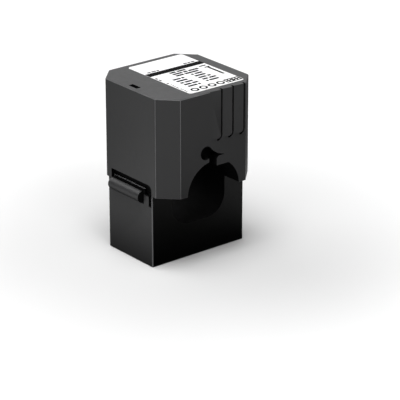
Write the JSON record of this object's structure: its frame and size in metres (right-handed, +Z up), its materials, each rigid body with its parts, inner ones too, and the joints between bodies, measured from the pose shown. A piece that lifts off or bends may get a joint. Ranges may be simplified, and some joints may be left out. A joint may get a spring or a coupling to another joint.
{
  "type": "split-core current transformer",
  "caption": "Hinged split-core cable current transformer: octagonal upper half with the coil, box-shaped lower half, round cable window, snap latch and rating label.",
  "frame": {"origin": "middle of the base, on the surface that the closed part stands on", "axes": "+Y along the cable, +X across the cable towards the hinge, +Z up towards the label"},
  "size_m": [0.0368, 0.0339, 0.0521],
  "materials": {
    "black_housing": "fine satin moulded black",
    "core_steel": "ground laminated silicon steel",
    "former_plastic": "natural moulded",
    "copper_wire": "enamelled copper wire",
    "tape": "yellow polyester tape",
    "board": "green board",
    "tinned_brass": "tinned",
    "pad_rubber": "cell rubber",
    "grommet_rubber": "matt black rubber",
    "label": "printed white film",
    "pin_steel": "drawn stainless steel"
  },
  "bodies": {
    "base_half": {"lower_housing": "black_housing", "lower_core": "core_steel", "spring_pad": "pad_rubber", "core_spring": "pin_steel", "lower_cover": "black_housing"},
    "coil_half": {"upper_housing": "black_housing", "window_liner": "black_housing", "upper_core": "core_steel", "coil_former_lower_half": "former_plastic", "coil_former_upper_half": "former_plastic", "secondary_winding": "copper_wire", "winding_tape": "tape", "terminal_board": "board", "terminal_pins": "tinned_brass", "output_tags": "tinned_brass", "core_pads": "pad_rubber", "lead_grommet": "grommet_rubber", "rating_label": "label", "hinge_pin": "pin_steel"}
  },
  "joints": [
    {"name": "housing_hinge", "type": "hinge", "parent": "base_half", "child": "coil_half", "pos_m": [0.01735, 0.00068, 0.0242], "axis": [0, 1, 0], "range_deg": [0, 110]}
  ]
}
